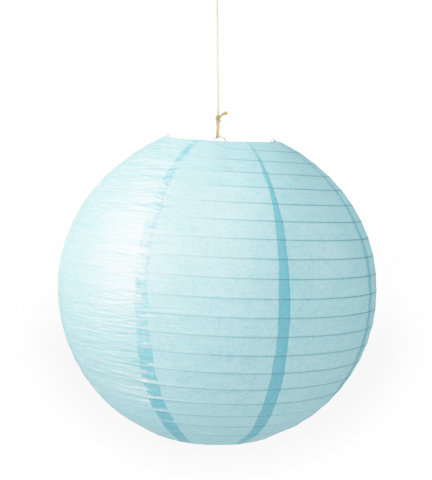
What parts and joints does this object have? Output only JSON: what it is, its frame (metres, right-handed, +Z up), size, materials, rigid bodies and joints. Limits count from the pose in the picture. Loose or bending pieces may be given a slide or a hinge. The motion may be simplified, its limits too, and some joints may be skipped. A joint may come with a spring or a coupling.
{
  "type": "round paper lantern",
  "caption": "Round hanging paper lantern with a spiral wire rib, wire rings, a removable wire expander and a jute hanging twine.",
  "frame": {"origin": "centre of the top ring, on the shade's axis", "axes": "+Z up along the shade's axis, X along the wire expander, Y across it; the twine leans 2.5 degrees from +Z in the XZ plane because the shade hangs slightly askew on it"},
  "size_m": [0.4, 0.4, 0.6073],
  "materials": {
    "jute": "natural twisted jute twine, hairy",
    "steel_wire": "bare drawn steel wire",
    "ring_wire": "pale coated steel wire",
    "blue_paper": "thin pale blue rice paper, slightly crinkled, translucent"
  },
  "bodies": {
    "hook_loop": {"hanging_loop": "jute"},
    "twine": {"hanging_twine": "jute"},
    "tie": {"twine_tie": "jute"},
    "head": {"expander_yoke": "steel_wire", "top_ring": "ring_wire", "spiral_rib": "ring_wire", "paper_gore_1": "blue_paper", "paper_gore_2": "blue_paper", "paper_gore_3": "blue_paper", "paper_gore_4": "blue_paper", "paper_gore_5": "blue_paper", "paper_gore_6": "blue_paper", "paper_gore_7": "blue_paper", "paper_gore_8": "blue_paper"},
    "left_leg": {"left_leg": "steel_wire"},
    "right_leg": {"right_leg": "steel_wire"},
    "bottom": {"bottom_ring": "ring_wire"}
  },
  "joints": [
    {"name": "string_swing", "type": "hinge", "parent": "hook_loop", "child": "twine", "pos_m": [-0.01308, 0, 0.20311], "axis": [0, 1, 0], "range_deg": [-20, 20]},
    {"name": "lantern_spin", "type": "hinge", "parent": "twine", "child": "tie", "pos_m": [-0.00585, 0, 0.03757], "axis": [-0.0436, 0, 0.999], "continuous": true},
    {"name": "lantern_sway", "type": "hinge", "parent": "tie", "child": "head", "pos_m": [-0.0045, 0, 0.0067], "axis": [1, 0, 0], "range_deg": [-25, 25]},
    {"name": "shade_collapse", "type": "slide", "parent": "head", "child": "bottom", "axis": [0, 0, 1], "range_m": [0, 0.338], "deforming": ["spiral_rib", "paper_gore_1", "paper_gore_2", "paper_gore_3", "paper_gore_4", "paper_gore_5", "paper_gore_6", "paper_gore_7", "paper_gore_8"]},
    {"name": "left_leg_pivot", "type": "hinge", "parent": "head", "child": "left_leg", "pos_m": [-0.061, 0, -0.00395], "axis": [0, 1, 0], "range_deg": [-9.05, 0]},
    {"name": "right_leg_pivot", "type": "hinge", "parent": "head", "child": "right_leg", "pos_m": [0.061, 0, -0.00395], "axis": [0, 1, 0], "range_deg": [0, 9.05]}
  ],
  "couplings": [
    {"joint": "left_leg_pivot", "follows": "shade_collapse", "rad_per_m": -0.466},
    {"joint": "right_leg_pivot", "follows": "shade_collapse", "rad_per_m": 0.466}
  ]
}
